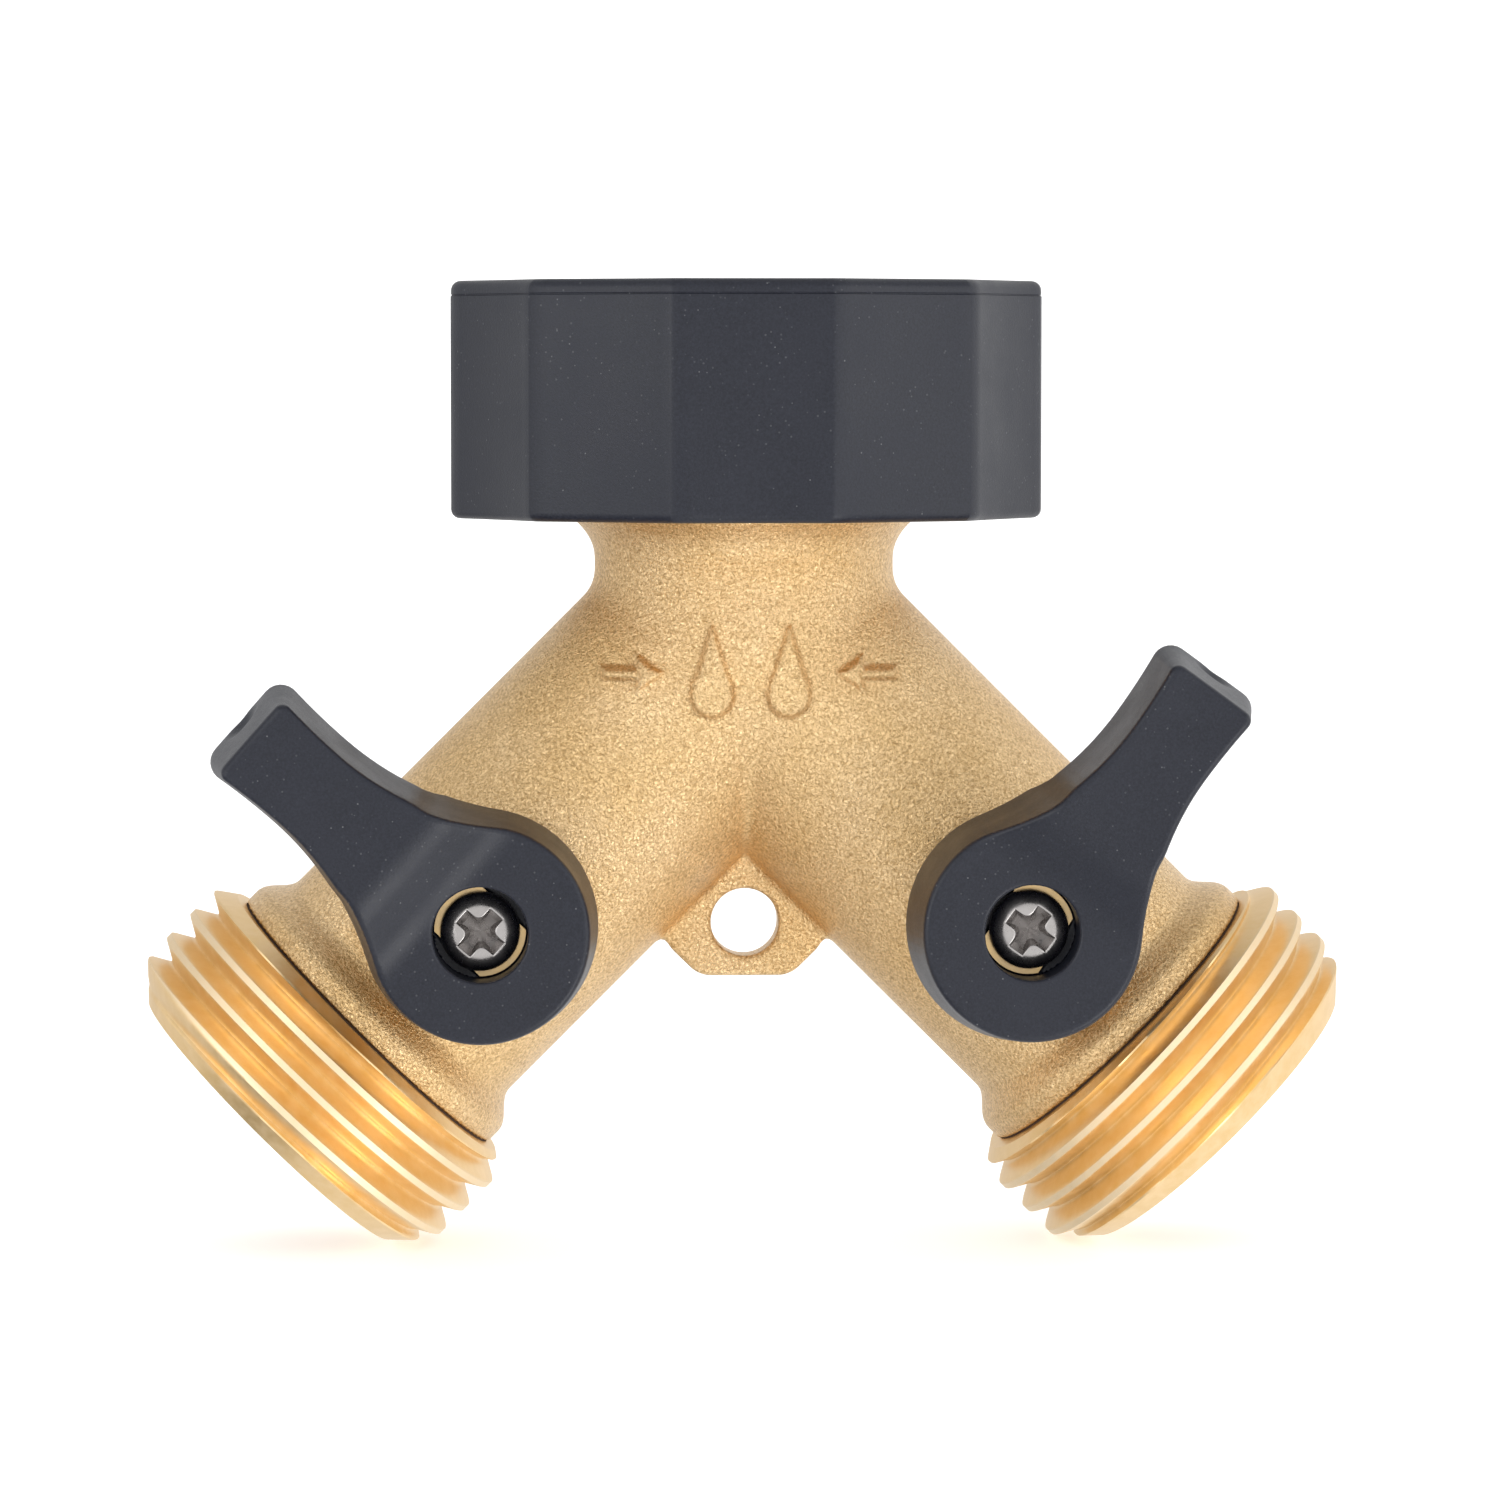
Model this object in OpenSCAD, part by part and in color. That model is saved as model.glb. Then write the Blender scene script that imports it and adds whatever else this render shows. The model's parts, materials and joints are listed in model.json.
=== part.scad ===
// Two-way hose splitter: a free-turning inlet collar, a forked body, and a lever ball valve
// and a threaded nipple on each leg.
// The origin is on the inlet axis at the lower end of the inlet thread. +Z points up out of
// the inlet, +X towards the right leg, and the levers face -Y. Sizes are in millimetres.

/* [Hose thread] */
// Distance from one thread turn to the next (11.5 turns to the inch)
thread_pitch = 2.209; // [2.2:0.001:2.25]
// Radius over the crests of the male thread
thread_crest_r = 13.45; // [13.35:0.01:13.5]
// Radial depth of one thread turn
thread_depth = 1.34; // [1.25:0.01:1.35]
// Radial gap between the male thread and the female thread
thread_gap = 0.17; // [0.1:0.01:0.25]
// Thread turns on each outlet nipple
outlet_turns = 4; // [3:1:4]
// Thread turns in the inlet nut
inlet_turns = 3; // [2:1:3]

/* [Body casting] */
// Angle of each leg from straight down
leg_angle = 45; // [43:1:46]
// Outside radius of the inlet neck
neck_r = 9.95; // [9.9:0.05:10.1]
// Outside radius of each leg
leg_r = 9.88; // [9.75:0.01:9.88]
// Outside radius of the shoulders under the collar and behind each nipple
shoulder_r = 11.4; // [11.2:0.1:11.6]
// Distance along a leg from the junction to the end of the casting
leg_length = 35.57; // [35.3:0.01:35.9]
// Height of the shoulder's top above the junction
neck_shoulder_z = 8.5; // [8.3:0.1:8.7]
// Radius of the water passage in the neck
neck_bore_r = 8; // [7:0.1:8.2]
// Radius of the water passage in each leg
leg_bore_r = 5.5; // [5:0.1:5.8]
// How far the cast arrows and drops stand out
mark_height = 0.35; // [0.2:0.05:0.5]

/* [Hanging tab] */
// Thickness of the tab in the fork
tab_thickness = 3; // [2:0.1:4]
// Radius of the hole in the tab
tab_hole_r = 2.25; // [1.5:0.05:2.4]
// Half width of the tab at its widest
tab_half_w = 5.3; // [5:0.1:5.6]
// Distance of the tab's lower edge below the junction
tab_drop = 22.1; // [21.8:0.1:22.6]

/* [Swivel collar] */
// Radius over the corners of the grip
grip_r = 20.2; // [19.5:0.1:21]
// Number of flat sides on the grip
grip_sides = 12; // [8:1:12]
// Depth of the hollow in each side of the grip
grip_hollow = 0.25; // [0.1:0.05:0.4]
// Height of the grip
grip_height = 15.6; // [15.6:0.1:17]
// Distance across the flats of the hexagonal nut inside the grip
nut_flats = 30; // [29.5:0.1:31]
// Thickness of the hose washer
washer_thickness = 3; // [2.5:0.1:3]

/* [Ball valves] */
// Distance of each valve from the junction, along its leg
valve_s = 25; // [24.9:0.1:25.2]
// Radius of each ball
ball_r = 7.25; // [7.1:0.05:7.3]
// Radius of the hole through each ball
port_r = 4.5; // [3.5:0.1:4.6]
// Radius of the valve stem
stem_r = 2.95; // [2.8:0.01:2.95]
// Radius of the boss round the stem
boss_r = 5.2; // [5:0.05:5.25]
// Gap between pieces that turn against each other
running_gap = 0.05; // [0.02:0.01:0.08]
// How far the left valve is open, in degrees
left_opening = 0; // [0:0.1:90]
// How far the right valve is open, in degrees
right_opening = 12.5; // [0:0.1:90]

/* [Levers] */
// Radius of the lever's hub
hub_r = 7.3; // [7.2:0.05:7.6]
// Distance from the hub's centre to the lever's tip
lever_length = 20.4; // [18:0.1:20.8]
// Half width of the arm where it leaves the hub's blend
arm_half_w = 4.1; // [3.6:0.1:4.4]
// Half width of the arm at its tip
tip_half_w = 3.35; // [2.5:0.05:3.5]
// Rounding of the two corners at the tip
tip_round = 1.3; // [0.5:0.1:1.6]
// Direction of the arm on a closed left valve, anticlockwise from +X in front view
closed_angle = 138.6; // [135:0.1:140]
// Radius of the well that the screw sits in
screw_well_r = 3.05; // [3:0.05:3.3]
// Radius of the screw's head
screw_head_r = 2.6; // [2.4:0.05:2.75]
// Radius of the screw's shank
screw_r = 1.25; // [1:0.05:1.25]

/* [Hidden] */
$fn = 96;
over = 1;          // how far a cutter runs past the face it cuts
fitted_gap = 0.03; // gap round pieces that stay still against each other

// Heights up the neck, measured from the junction.
grip_bottom_z = neck_shoulder_z + running_gap;
grip_top_z = grip_bottom_z + grip_height;
lip_top_z = grip_bottom_z + 2.3;
ring_groove_z = lip_top_z + 0.15;
ring_groove_h = 1.1;
neck_top_z = ring_groove_z + ring_groove_h + 0.95;
washer_z = neck_top_z + running_gap;
thread_start_z = washer_z + washer_thickness + 0.05;
nut_top_z = grip_top_z - 0.6;
junction_z = -thread_start_z;

// Radii in the swivel.
spigot_r = 10.5;
ring_groove_r = 9.7;
ring_outer_r = 11.7;
washer_r = 12.7;
washer_hole_r = 8;
grip_mouth_r = thread_crest_r + 0.95;

// Thread form: flat crests, and 60 degree grooves that are almost sharp at the root.
crest_half = 0.14 * thread_pitch;
base_half = crest_half + thread_depth * tan(30);
thread_root_r = thread_crest_r - thread_depth;

// Stations along a leg, measured from the junction.
shoulder_rise = shoulder_r - leg_r;
shoulder_s = leg_length - 1.9;
gasket_thickness = 0.3;
nipple_s = leg_length + gasket_thickness + fitted_gap;
first_crest_s = nipple_s + base_half + fitted_gap;
last_turn_s = first_crest_s + (outlet_turns - 1) * thread_pitch;
nipple_end_s = last_turn_s + base_half + 0.17;
nipple_end_r = thread_root_r - 0.85;
outlet_bore_r = 8.6;
nipple_spigot_r = 8.7;

// The ball's chamber and its two seats, measured from the ball's centre.
chamber_r = 7.9;
seat_near = 4;
seat_far = 6.6;
seat_hole_r = 5;
drive_flats = 11;
drive_end_s = nipple_s + 2;

// Heights at a valve, measured from the leg's axis towards the front.
slot_floor_h = 5.4;
flange_h = 7.55;
flange_top_h = 8.4;
thrust_top_h = 9;
boss_h = 13.5;
stem_top_h = 16;
skirt_h = 12.4;
cup_h = boss_h + 0.1;
arm_bottom_h = 14.5;
hub_top_h = 19.6;
arm_top_h = 22;
screw_head_top_h = stem_top_h + 1.6;
screw_end_h = 11;

// Valve details.
flange_r = 3.9;
stem_flat = 2.1;
tang_width = 2.5;
tang_length = 5.4;
o_ring_cord = 0.94;
o_ring_groove_r = 2;
o_ring_groove_w = 1.06;
o_ring_grooves_h = [9.9, 11.6];
stop_r = 6.3;
stop_width = 24;
stop_travel = 90;
recess_w = 0.75;
recess_l = 3.3;
recess_depth = 0.9;

// Lever outline.
arm_blend_u = 11.7;
arm_blend_r = (pow(arm_blend_u, 2) + pow(arm_half_w, 2) - pow(hub_r, 2)) / (2 * (hub_r - arm_half_w));
ramp_start_u = 3.2;
ramp_end_u = 6.9;

// Directions in a valve's front view on the left leg.
outlet_dir = 270 - leg_angle;
port_dir = outlet_dir - 90;

cast_brass = "#D8B878";
machined_brass = "#E0B050";
chrome = "#D0D2D6";
black_plastic = "#2E2F33";
black_rubber = "#1B1B1C";
white_ptfe = "#EDEDE6";
dark_fibre = "#3A2A22";
bright_steel = "#B8BABD";

// ---- Places ----

// Everything on a leg is drawn on the left one, and the right one is its mirror image.
// Children are measured from the junction, where the inlet axis meets the two leg axes.
module on_side(side) {
    mirror([side == "right" ? 1 : 0, 0, 0]) translate([0, 0, junction_z]) children();
}

// Children's +Z runs outward down the left leg's axis, with -Y to the front.
module along_leg() {
    rotate([0, leg_angle - 180, 0]) children();
}

// Children's +Z runs out of the front along the stem and +Y points up. They turn with the lever.
module at_valve(opening = 0) {
    translate([-valve_s * sin(leg_angle), 0, -valve_s * cos(leg_angle)])
        rotate([90, 0, 0]) rotate([0, 0, -opening]) children();
}

// ---- Shared shapes ----

// A ring or a disc standing on its lower end.
module ring(outer_r, inner_r, bottom, top) {
    difference() {
        translate([0, 0, bottom]) cylinder(r = outer_r, h = top - bottom);
        translate([0, 0, bottom - over]) cylinder(r = inner_r, h = top - bottom + 2 * over);
    }
}

// Part of a ring, from one angle through a sweep.
module ring_sector(inner_r, outer_r, bottom, top, from, sweep) {
    rotate([0, 0, from]) rotate_extrude(angle = sweep)
        translate([inner_r, bottom]) square([outer_r - inner_r, top - bottom]);
}

// A shaft with a flat on each side, the flats facing the +Y and -Y sides.
module double_flat(r, flat, bottom, top) {
    intersection() {
        translate([0, 0, bottom]) cylinder(r = r, h = top - bottom);
        translate([-r - over, -flat, bottom]) cube([2 * (r + over), 2 * flat, top - bottom]);
    }
}

// The four corners of one thread turn's section. A negative depth cuts inward from the base.
function thread_turn(base_r, depth, s) = [
    [base_r, s - base_half], [base_r + depth, s - crest_half],
    [base_r + depth, s + crest_half], [base_r, s + base_half]
];

// All the turns' corners, one after another, along the shaft.
function thread_outline(base_r, depth, first_s, turns) = [
    for (turn = [0 : turns - 1]) each thread_turn(base_r, depth, first_s + turn * thread_pitch)
];

// A hollow quarter round from (r, s) out to (r + size, s + size).
function flare(r, s, size) = [
    for (a = [0 : 15 : 90]) [r + size * (1 - cos(a)), s + size * sin(a)]
];

// ---- Body casting ----

module neck_outside() {
    rotate_extrude() polygon(concat(
        [[0, -3], [neck_r - 1, -3], [neck_r, 0]],
        flare(neck_r, neck_shoulder_z - 2, shoulder_r - neck_r),
        [
            [shoulder_r, neck_shoulder_z], [spigot_r, neck_shoulder_z],
            [spigot_r, ring_groove_z], [ring_groove_r, ring_groove_z],
            [ring_groove_r, ring_groove_z + ring_groove_h], [spigot_r, ring_groove_z + ring_groove_h],
            [spigot_r, neck_top_z], [0, neck_top_z]
        ]
    ));
}

module leg_outside() {
    along_leg() rotate_extrude() polygon(concat(
        [[0, 0], [leg_r, 0]],
        flare(leg_r, shoulder_s - shoulder_rise, shoulder_rise),
        [[shoulder_r, leg_length - 0.3], [shoulder_r - 0.3, leg_length], [0, leg_length]]
    ));
}

module boss() {
    at_valve() {
        cylinder(r = boss_r, h = boss_h);
        ring_sector(boss_r - over, stop_r, flange_h, boss_h - 0.1, outlet_dir - stop_width / 2, stop_width);
    }
}

module tab() {
    crotch_z = leg_r / sin(leg_angle);
    side_z = tab_drop - 2.2;
    rotate([90, 0, 0]) linear_extrude(height = tab_thickness, center = true) polygon([
        [-3.05, -tab_drop], [3.05, -tab_drop], [tab_half_w, -side_z],
        [tab_half_w, -side_z + 2], [0, -crotch_z + 1.5], [-tab_half_w, -side_z + 2],
        [-tab_half_w, -side_z]
    ]);
}

// A drop 5.6 tall, and an arrow 4.1 long that points towards it.
module drop_and_arrow() {
    translate([-2.5, -2.9]) {
        circle(r = 1.55);
        polygon([[-1.4, 0.5], [1.4, 0.5], [0, 4.1]]);
    }
    translate([-7.7, -1.5]) {
        polygon([
            [-2.05, -0.45], [0.3, -0.45], [0.3, -1.25], [2.05, 0],
            [0.3, 1.25], [0.3, 0.45], [-2.05, 0.45]
        ]);
    }
}

module cast_marks() {
    intersection() {
        rotate([90, 0, 0]) linear_extrude(height = 2 * leg_r) drop_and_arrow();
        union() {
            cylinder(r = neck_r + mark_height, h = neck_shoulder_z - 3);
            along_leg() cylinder(r = leg_r + mark_height, h = valve_s / 2);
            mirror([1, 0, 0]) along_leg() cylinder(r = leg_r + mark_height, h = valve_s / 2);
        }
    }
}

module leg_passages() {
    along_leg() {
        cylinder(r = leg_bore_r, h = valve_s);
        translate([0, 0, valve_s - seat_far - fitted_gap]) cylinder(r = chamber_r, h = leg_length);
        translate([0, 0, valve_s + seat_far]) cylinder(r = nipple_spigot_r + fitted_gap, h = leg_length);
    }
    at_valve() {
        cylinder(r = stem_r + running_gap, h = boss_h + over);
        cylinder(r = flange_r + 0.1, h = thrust_top_h + fitted_gap);
    }
}

module valve_body() {
    color(cast_brass) difference() {
        union() {
            on_side("left") {
                neck_outside();
                tab();
            }
            for (side = ["left", "right"]) on_side(side) {
                leg_outside();
                boss();
                cast_marks();
            }
        }
        for (side = ["left", "right"]) on_side(side) leg_passages();
        on_side("left") {
            cylinder(r = neck_bore_r, h = neck_top_z + over);
            translate([0, 0, tab_hole_r - tab_drop + 1.35])
                rotate([90, 0, 0]) cylinder(r = tab_hole_r, h = 2 * tab_thickness, center = true);
        }
    }
}

// ---- Swivel collar ----

// A hexagon with its corners in line with the grip's corners.
module nut_hexagon(flats, bottom, top) {
    rotate([0, 0, 15]) translate([0, 0, bottom])
        cylinder(r = flats / sqrt(3), h = top - bottom, $fn = 6);
}

module swivel_nut() {
    female_crest_r = thread_root_r + thread_gap;
    female_root_r = thread_crest_r + thread_gap;
    inlet_depth = nut_top_z - thread_start_z;
    first_turn_z = thread_start_z + base_half + 0.3;
    color(machined_brass) translate([0, 0, junction_z]) difference() {
        nut_hexagon(nut_flats, grip_bottom_z, nut_top_z);
        rotate_extrude() polygon(concat(
            [
                [0, grip_bottom_z - over], [spigot_r + running_gap + 0.03, grip_bottom_z - over],
                [spigot_r + running_gap + 0.03, lip_top_z], [washer_r + fitted_gap, lip_top_z],
                [washer_r + fitted_gap, thread_start_z], [female_crest_r, thread_start_z]
            ],
            thread_outline(female_crest_r, thread_depth, first_turn_z, inlet_turns),
            [
                [female_crest_r, nut_top_z - 0.4], [female_root_r, nut_top_z + 0.01],
                [female_root_r, nut_top_z + inlet_depth], [0, nut_top_z + inlet_depth]
            ]
        ));
    }
}

module collar_grip() {
    edge = 0.7;
    side_r = grip_r * cos(180 / grip_sides);
    half_side = grip_r * sin(180 / grip_sides);
    hollow_r = (pow(half_side, 2) + pow(grip_hollow, 2)) / (2 * grip_hollow);
    color(black_plastic) translate([0, 0, junction_z]) difference() {
        intersection() {
            rotate([0, 0, 270 - 180 / grip_sides])
                translate([0, 0, grip_bottom_z]) cylinder(r = grip_r, h = grip_height, $fn = grip_sides);
            rotate_extrude() polygon([
                [0, grip_bottom_z], [grip_r - edge, grip_bottom_z], [grip_r + 0.05, grip_bottom_z + edge],
                [grip_r + 0.05, grip_top_z - edge], [grip_r - edge, grip_top_z], [0, grip_top_z]
            ]);
        }
        for (i = [0 : grip_sides - 1]) rotate([0, 0, 270 + i * 360 / grip_sides])
            translate([side_r - grip_hollow + hollow_r, 0, grip_bottom_z - over])
                cylinder(r = hollow_r, h = grip_height + 2 * over);
        nut_hexagon(nut_flats + 2 * fitted_gap, grip_bottom_z - over, nut_top_z + fitted_gap);
        translate([0, 0, nut_top_z]) cylinder(r = grip_mouth_r, h = grip_height);
    }
}

module inlet_washer() {
    color(black_rubber) translate([0, 0, junction_z])
        ring(washer_r, washer_hole_r, washer_z, washer_z + washer_thickness);
}

// An open spring ring in the neck's groove, which keeps the nut on the neck.
module snap_ring() {
    color(bright_steel) translate([0, 0, junction_z]) ring_sector(
        ring_groove_r + running_gap, ring_outer_r,
        ring_groove_z + running_gap, ring_groove_z + ring_groove_h - running_gap, 105, 330
    );
}

// ---- Outlets ----

// Where the last turn's rising flank meets the 45 degree chamfer at the nipple's end.
function chamfer_start() =
    let (
        foot_s = last_turn_s - base_half,
        rise = (nipple_end_r - thread_root_r + nipple_end_s - foot_s) / (1 + tan(30))
    )
    [thread_root_r + rise, foot_s + rise * tan(30)];

module nipple(side) {
    color(machined_brass) on_side(side) along_leg() difference() {
        rotate_extrude() polygon(concat(
            [
                [0, valve_s + seat_far + fitted_gap], [nipple_spigot_r, valve_s + seat_far + fitted_gap],
                [nipple_spigot_r, nipple_s], [thread_root_r, nipple_s]
            ],
            thread_outline(thread_root_r, thread_depth, first_crest_s, outlet_turns - 1),
            [
                [thread_root_r, last_turn_s - base_half], chamfer_start(),
                [nipple_end_r, nipple_end_s], [0, nipple_end_s]
            ]
        ));
        cylinder(r = drive_flats / sqrt(3), h = nipple_end_s, $fn = 6);
        translate([0, 0, drive_end_s]) cylinder(r = outlet_bore_r, h = nipple_end_s);
    }
}

module gasket(side) {
    color(dark_fibre) on_side(side) along_leg()
        ring(shoulder_r - 0.2, nipple_spigot_r + 0.1, leg_length + 0.01, leg_length + gasket_thickness);
}

// ---- Ball valves ----

// A seat on one side of the ball: direction is -1 towards the junction and 1 towards the outlet.
module seat(side, direction) {
    color(white_ptfe) on_side(side) along_leg() translate([0, 0, valve_s])
        mirror([0, 0, direction < 0 ? 1 : 0]) difference() {
            ring(chamber_r - running_gap, seat_hole_r, seat_near, seat_far);
            sphere(r = ball_r + running_gap);
        }
}

module ball(side, opening) {
    color(chrome) on_side(side) at_valve(opening) rotate([0, 0, port_dir]) difference() {
        sphere(r = ball_r);
        rotate([0, 90, 0]) cylinder(r = port_r, h = 2 * ball_r + over, center = true);
        translate([-tang_width / 2 - running_gap, -ball_r, slot_floor_h])
            cube([tang_width + 2 * running_gap, 2 * ball_r, ball_r]);
    }
}

module stem(side, opening) {
    color(machined_brass) on_side(side) at_valve(opening) rotate([0, 0, port_dir]) difference() {
        union() {
            translate([-tang_width / 2, -tang_length / 2, slot_floor_h + running_gap])
                cube([tang_width, tang_length, flange_h - slot_floor_h]);
            ring(flange_r, 0.01, flange_h, flange_top_h);
            difference() {
                translate([0, 0, flange_h]) cylinder(r = stem_r, h = boss_h - flange_h);
                for (h = o_ring_grooves_h) ring(stem_r + over, o_ring_groove_r, h, h + o_ring_groove_w);
            }
            double_flat(stem_r, stem_flat, boss_h - over / 2, stem_top_h);
        }
        translate([0, 0, screw_end_h - 0.2]) cylinder(r = screw_r + fitted_gap, h = stem_top_h);
    }
}

module thrust_washer(side) {
    color(white_ptfe) on_side(side) at_valve()
        ring(flange_r, stem_r + running_gap, flange_top_h + fitted_gap, thrust_top_h);
}

module o_rings(side) {
    color(black_rubber) on_side(side) at_valve() for (h = o_ring_grooves_h)
        translate([0, 0, h + o_ring_groove_w / 2]) rotate_extrude()
            translate([o_ring_groove_r + 0.02 + o_ring_cord / 2, 0]) circle(d = o_ring_cord);
}

// ---- Levers ----

// One long edge of the lever, from the back of the hub, through the blend, to the middle of the tip.
function lever_edge() =
    let (
        blend_y = arm_half_w + arm_blend_r,
        hub_end = atan2(blend_y, arm_blend_u),
        corner = [lever_length - tip_round, tip_half_w - tip_round]
    )
    concat(
        [for (i = [0 : 24]) let (a = 180 - (180 - hub_end) * i / 24) hub_r * [cos(a), sin(a)]],
        [for (i = [1 : 12]) let (a = hub_end - 180 + (90 - hub_end) * i / 12)
            [arm_blend_u + arm_blend_r * cos(a), blend_y + arm_blend_r * sin(a)]],
        [for (a = [90 : -15 : 0]) corner + tip_round * [cos(a), sin(a)]]
    );

module lever_outline() {
    edge = lever_edge();
    polygon(concat(edge, [for (i = [len(edge) - 1 : -1 : 1]) [edge[i].x, -edge[i].y]]));
}

// Side view: a flat hub, then a ramp up to the raised arm.
module lever_profile() {
    polygon([
        [-hub_r - over, skirt_h], [hub_r, skirt_h], [hub_r + 1.5, arm_bottom_h],
        [lever_length + over, arm_bottom_h], [lever_length + over, arm_top_h],
        [ramp_end_u, arm_top_h], [ramp_start_u, hub_top_h], [-hub_r - over, hub_top_h]
    ]);
}

// A slot in the skirt turns about the boss's stop lug and ends the travel at closed and open.
module lever(side, opening) {
    slot_sweep = stop_travel + stop_width + 2;
    color(black_plastic) on_side(side) at_valve(opening) difference() {
        rotate([0, 0, closed_angle]) intersection() {
            linear_extrude(height = arm_top_h + over) lever_outline();
            rotate([90, 0, 0]) linear_extrude(height = 4 * hub_r, center = true) lever_profile();
        }
        translate([0, 0, skirt_h - over]) cylinder(r = boss_r + 0.1, h = cup_h - skirt_h + over);
        ring_sector(
            boss_r - over, stop_r + 0.1, skirt_h - over, cup_h,
            outlet_dir - stop_width / 2 - 1, slot_sweep
        );
        rotate([0, 0, port_dir])
            double_flat(stem_r + fitted_gap, stem_flat + fitted_gap, cup_h - over, stem_top_h);
        translate([0, 0, stem_top_h - 0.02]) cylinder(r = screw_well_r, h = arm_top_h);
    }
}

// A pan-head screw with a cross recess.
module lever_screw(side, opening) {
    color(bright_steel) on_side(side) at_valve(opening) rotate([0, 0, port_dir]) difference() {
        rotate_extrude() polygon([
            [0, screw_end_h], [screw_r - 0.3, screw_end_h], [screw_r, screw_end_h + 0.3],
            [screw_r, stem_top_h], [screw_head_r, stem_top_h], [screw_head_r, stem_top_h + 0.9],
            [screw_head_r - 0.7, screw_head_top_h], [0, screw_head_top_h]
        ]);
        for (turn = [0, 90]) rotate([0, 0, turn])
            translate([-recess_l / 2, -recess_w / 2, screw_head_top_h - recess_depth])
                cube([recess_l, recess_w, recess_depth + over]);
    }
}

module left_nipple() nipple("left");
module right_nipple() nipple("right");
module left_gasket() gasket("left");
module right_gasket() gasket("right");
module left_inner_seat() seat("left", -1);
module right_inner_seat() seat("right", -1);
module left_outer_seat() seat("left", 1);
module right_outer_seat() seat("right", 1);
module left_ball() ball("left", left_opening);
module right_ball() ball("right", right_opening);
module left_stem() stem("left", left_opening);
module right_stem() stem("right", right_opening);
module left_thrust_washer() thrust_washer("left");
module right_thrust_washer() thrust_washer("right");
module left_o_rings() o_rings("left");
module right_o_rings() o_rings("right");
module left_lever() lever("left", left_opening);
module right_lever() lever("right", right_opening);
module left_lever_screw() lever_screw("left", left_opening);
module right_lever_screw() lever_screw("right", right_opening);

valve_body();
swivel_nut();
collar_grip();
inlet_washer();
snap_ring();
left_nipple();
right_nipple();
left_gasket();
right_gasket();
left_inner_seat();
right_inner_seat();
left_outer_seat();
right_outer_seat();
left_ball();
right_ball();
left_stem();
right_stem();
left_thrust_washer();
right_thrust_washer();
left_o_rings();
right_o_rings();
left_lever();
right_lever();
left_lever_screw();
right_lever_screw();
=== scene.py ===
"""Looks of the two-way hose splitter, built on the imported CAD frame.

Shapes are worked out in millimetres from the junction, where the inlet's axis meets the axes
of both legs, and are moved to the shared frame in metres when they become meshes.
"""

import json
import math

import bpy
import numpy as np
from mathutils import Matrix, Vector


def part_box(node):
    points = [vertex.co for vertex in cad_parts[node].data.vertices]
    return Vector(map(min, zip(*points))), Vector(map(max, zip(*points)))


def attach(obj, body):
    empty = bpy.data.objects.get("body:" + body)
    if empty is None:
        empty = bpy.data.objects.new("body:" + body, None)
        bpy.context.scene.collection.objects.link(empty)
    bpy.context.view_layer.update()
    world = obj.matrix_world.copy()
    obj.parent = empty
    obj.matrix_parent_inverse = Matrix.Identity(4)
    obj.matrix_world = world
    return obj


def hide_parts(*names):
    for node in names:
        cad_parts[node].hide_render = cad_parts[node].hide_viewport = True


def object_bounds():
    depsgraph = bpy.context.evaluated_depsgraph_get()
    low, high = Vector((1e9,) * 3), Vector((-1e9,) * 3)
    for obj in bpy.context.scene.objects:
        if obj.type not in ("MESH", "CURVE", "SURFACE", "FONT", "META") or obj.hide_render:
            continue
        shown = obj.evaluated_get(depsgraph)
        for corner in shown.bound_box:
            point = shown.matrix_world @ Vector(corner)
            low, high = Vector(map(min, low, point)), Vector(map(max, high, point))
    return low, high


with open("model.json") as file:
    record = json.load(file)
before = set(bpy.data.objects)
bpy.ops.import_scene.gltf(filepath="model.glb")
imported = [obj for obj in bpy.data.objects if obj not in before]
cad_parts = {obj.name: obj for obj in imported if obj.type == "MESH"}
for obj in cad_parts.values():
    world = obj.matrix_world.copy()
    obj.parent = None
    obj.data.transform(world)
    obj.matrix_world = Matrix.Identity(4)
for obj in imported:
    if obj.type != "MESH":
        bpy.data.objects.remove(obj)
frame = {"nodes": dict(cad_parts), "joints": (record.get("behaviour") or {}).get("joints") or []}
cad_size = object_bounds()

MM = 0.001

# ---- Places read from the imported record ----

joints = {j["name"]: j for j in frame["joints"]}
PIVOT = np.array(joints["left_lever_turn"]["pos_m"]) / MM
LEG = math.sqrt(0.5) * np.array([-1.0, 0.0, -1.0])
VALVE_S = PIVOT[0] / LEG[0]
JUNCTION = PIVOT - VALVE_S * LEG
REST_OPENING = {"left": 0.0, "right": -joints["right_lever_turn"]["range_deg"][0]}


def cad_span(node, axis):
    """Lowest and highest coordinate of a CAD node, in millimetres from the junction."""
    low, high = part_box(node)
    return low[axis] / MM - JUNCTION[axis], high[axis] / MM - JUNCTION[axis]


GRIP_BOTTOM, GRIP_TOP = cad_span("collar_grip", 2)
NUT_BOTTOM, NUT_TOP = cad_span("swivel_nut", 2)

# ---- Sizes, in millimetres and degrees ----
# S runs along a leg and Z up the neck, both from the junction. H is height in front of the
# junction. U runs along a lever's arm and V across it, from the lever's axis.

NECK_R, LEG_R, SHOULDER_R = 9.95, 9.88, 11.37
SHOULDER_Z, SEAM_S = 8.5, 35.57
FLARE_Z, FLARE_LENGTH, NECK_FOOT_Z = 5.7, 2.7, -3.0
LEG_FLARE_START_S, LEG_FLARE_END_S = 31.9, 34.8
SPIGOT_R, SPIGOT_Z, SPIGOT_HALF = 10.5, 10.5, 2.55
RING_GROOVE_R, RING_GROOVE_Z, RING_GROOVE_HALF = 9.7, 11.55, 0.55
BOSS_R, BOSS_H = 5.2, 13.5
LUG_R, LUG_H, LUG_TAPER = 6.28, 13.4, 12.0
TAB_HALF, HANG_HOLE_R, HANG_HOLE_Z = 1.5, 2.25, -18.5

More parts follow.
